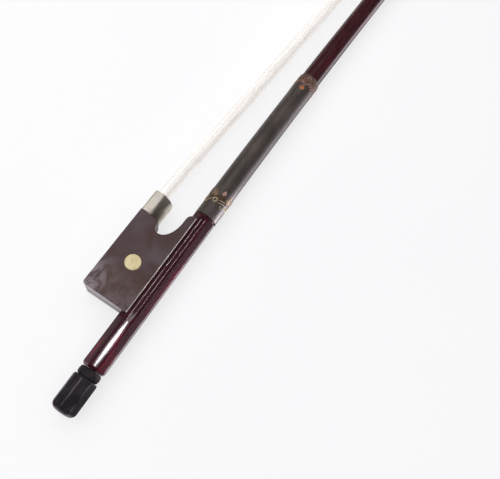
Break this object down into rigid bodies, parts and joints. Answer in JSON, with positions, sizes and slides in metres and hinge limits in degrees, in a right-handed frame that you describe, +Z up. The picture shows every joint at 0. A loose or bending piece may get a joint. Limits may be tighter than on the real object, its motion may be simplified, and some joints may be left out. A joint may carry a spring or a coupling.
{
  "type": "violin bow",
  "caption": "Bow for a violin: cambered wooden stick with a hatchet head, sliding frog, ferrule, screw button, grip sleeve and a ribbon of hair.",
  "frame": {"origin": "bottom centre of the box round the whole bow, lying on its side", "axes": "+X along the straight handle from the screw button to the head, +Y from the stick to the hair, +Z up, square to the bow's plane of symmetry"},
  "size_m": [0.7422, 0.058, 0.0133],
  "materials": {
    "stick_wood": "polished dark red varnish",
    "frog_wood": "polished dark brown",
    "button_black": "satin black",
    "nickel": "polished nickel silver",
    "brass": "machined",
    "screw_steel": "turned",
    "pearl": "cream pearl",
    "slide_pearl": "white pearl",
    "slide_backing": "oiled ebony",
    "grip": "smooth dark grey-brown",
    "gold_foil": "printed foil border",
    "tip_plate": "bone white",
    "tip_liner": "ebony",
    "plug_wood": "raw maple",
    "hair": "horsehair",
    "thread": "waxed binding thread"
  },
  "bodies": {
    "stick": {"stick_handle": "stick_wood", "stick_shaft_rear": "stick_wood", "stick_shaft_middle": "stick_wood", "stick_shaft_front": "stick_wood", "stick_shaft_tip": "stick_wood", "stick_head": "stick_wood", "tip_liner": "tip_liner", "tip_plate": "tip_plate", "tip_hair_knot": "hair", "tip_knot_thread": "thread", "tip_plug": "plug_wood", "grip_sleeve": "grip", "hair_ribbon": "hair"},
    "frog": {"frog_body": "frog_wood", "pearl_eye_near": "pearl", "pearl_eye_far": "pearl", "underslide": "nickel", "underslide_screw_1": "nickel", "underslide_screw_2": "nickel", "ferrule": "nickel", "ferrule_wedge": "plug_wood", "slide_backing": "slide_backing", "slide_pearl": "slide_pearl", "eyelet": "brass", "frog_hair_knot": "hair", "frog_knot_thread": "thread", "frog_plug": "plug_wood"},
    "screw": {"screw": "screw_steel", "button": "button_black"}
  },
  "joints": [
    {"name": "screw_turn", "type": "hinge", "parent": "stick", "child": "screw", "pos_m": [-0.35395, 0.00812, 0.00665], "axis": [1, 0, 0], "range_deg": [-1080, 5040]},
    {"name": "frog_slide", "type": "slide", "parent": "stick", "child": "frog", "axis": [-1, 0, 0], "range_m": [-0.0015, 0.007], "deforming": ["hair_ribbon"]}
  ],
  "couplings": [
    {"joint": "screw_turn", "follows": "frog_slide", "rad_per_m": 12566}
  ]
}
